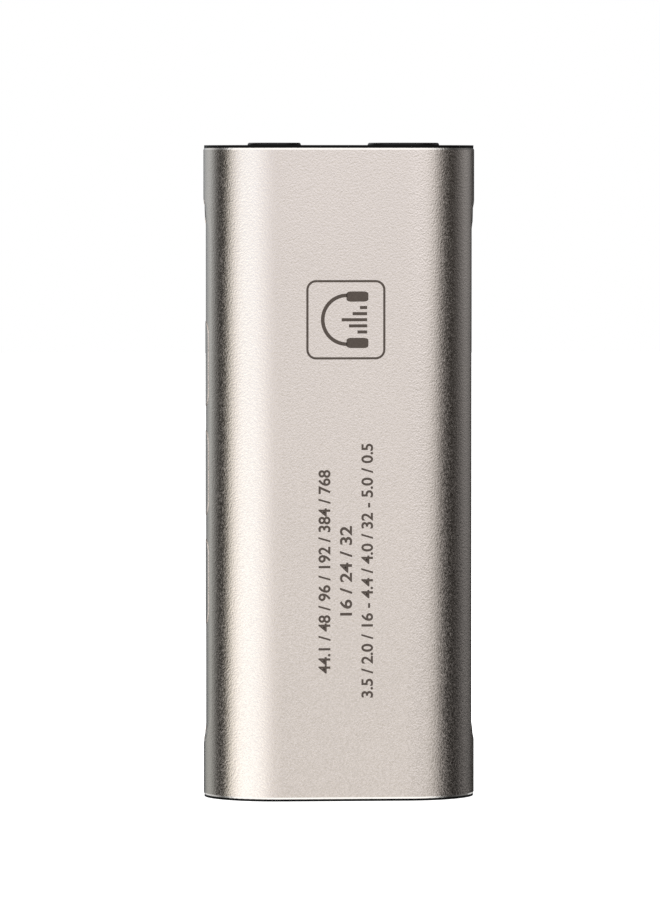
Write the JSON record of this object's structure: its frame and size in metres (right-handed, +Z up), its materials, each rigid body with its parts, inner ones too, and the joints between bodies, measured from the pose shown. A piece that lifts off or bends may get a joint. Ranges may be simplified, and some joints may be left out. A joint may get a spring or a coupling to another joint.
{
  "type": "desktop dac",
  "caption": "Pocket-size USB DAC and headphone amplifier: round-sided aluminium sleeve, black end caps, 3.5 mm and 4.4 mm jacks on top, USB-C inlet below, pressable side buttons.",
  "frame": {"origin": "centre of the bottom cap's outer face, the USB end, on which the part stands", "axes": "+Z up to the headphone jacks, -Y out of the plain back face, +Y out of the front face with the status light, -X out of the side with the buttons"},
  "size_m": [0.0224, 0.012, 0.054],
  "materials": {
    "sleeve_aluminium": "bead-blasted and anodised champagne, bright cut chamfers",
    "cap_black": "fine matt moulding",
    "screw_steel": "nickel-plated",
    "clear_plastic": "clear polycarbonate, polished end",
    "board_mask": "solder mask, satin",
    "led_lens": "milky lens",
    "nickel_steel": "nickel-plated, satin",
    "moulding_black": "semi-gloss moulding",
    "gold_plate": "gold-plated",
    "chip_epoxy": "moulded epoxy",
    "tinned_metal": "tin-plated",
    "ceramic_grey": "fired ceramic",
    "ferrite_grey": "coated ferrite",
    "ceramic_tan": "fired ceramic",
    "switch_black": "moulded nylon",
    "plunger_plastic": "moulded nylon"
  },
  "bodies": {
    "chassis": {"housing": "sleeve_aluminium", "top_cap": "cap_black", "bottom_cap": "cap_black", "cap_screws": "screw_steel", "light_pipe": "clear_plastic", "main_board": "board_mask", "status_led": "led_lens", "usb_shell": "nickel_steel", "usb_tongue": "moulding_black", "usb_contacts": "gold_plate", "jack_35_body": "moulding_black", "jack_35_sleeve": "gold_plate", "jack_35_contacts": "gold_plate", "jack_44_body": "moulding_black", "jack_44_sleeve": "gold_plate", "jack_44_contacts": "gold_plate", "dac_chip": "chip_epoxy", "dac_chip_leads": "tinned_metal", "usb_bridge_chip": "chip_epoxy", "flash_chip": "chip_epoxy", "amplifier_chips": "chip_epoxy", "regulators": "chip_epoxy", "regulator_leads": "tinned_metal", "oscillator_bases": "ceramic_grey", "oscillator_lids": "nickel_steel", "power_inductors": "ferrite_grey", "polymer_capacitors": "chip_epoxy", "polymer_capacitor_terminals": "tinned_metal", "ceramic_capacitors": "ceramic_tan", "ceramic_capacitor_terminals": "tinned_metal", "chip_resistors": "chip_epoxy", "chip_resistor_terminals": "tinned_metal", "volume_up_switch": "switch_black", "play_pause_switch": "switch_black", "volume_down_switch": "switch_black", "switch_covers": "nickel_steel"},
    "volume_up": {"volume_up_button": "sleeve_aluminium", "volume_up_plunger": "plunger_plastic"},
    "play_pause": {"play_pause_button": "sleeve_aluminium", "play_pause_plunger": "plunger_plastic"},
    "volume_down": {"volume_down_button": "sleeve_aluminium", "volume_down_plunger": "plunger_plastic"}
  },
  "joints": [
    {"name": "volume_up_press", "type": "slide", "parent": "chassis", "child": "volume_up", "axis": [1, 0, 0], "range_m": [0, 0.00025], "stiffness_N_per_m": 4000},
    {"name": "play_pause_press", "type": "slide", "parent": "chassis", "child": "play_pause", "axis": [1, 0, 0], "range_m": [0, 0.00025], "stiffness_N_per_m": 4000},
    {"name": "volume_down_press", "type": "slide", "parent": "chassis", "child": "volume_down", "axis": [1, 0, 0], "range_m": [0, 0.00025], "stiffness_N_per_m": 4000}
  ]
}
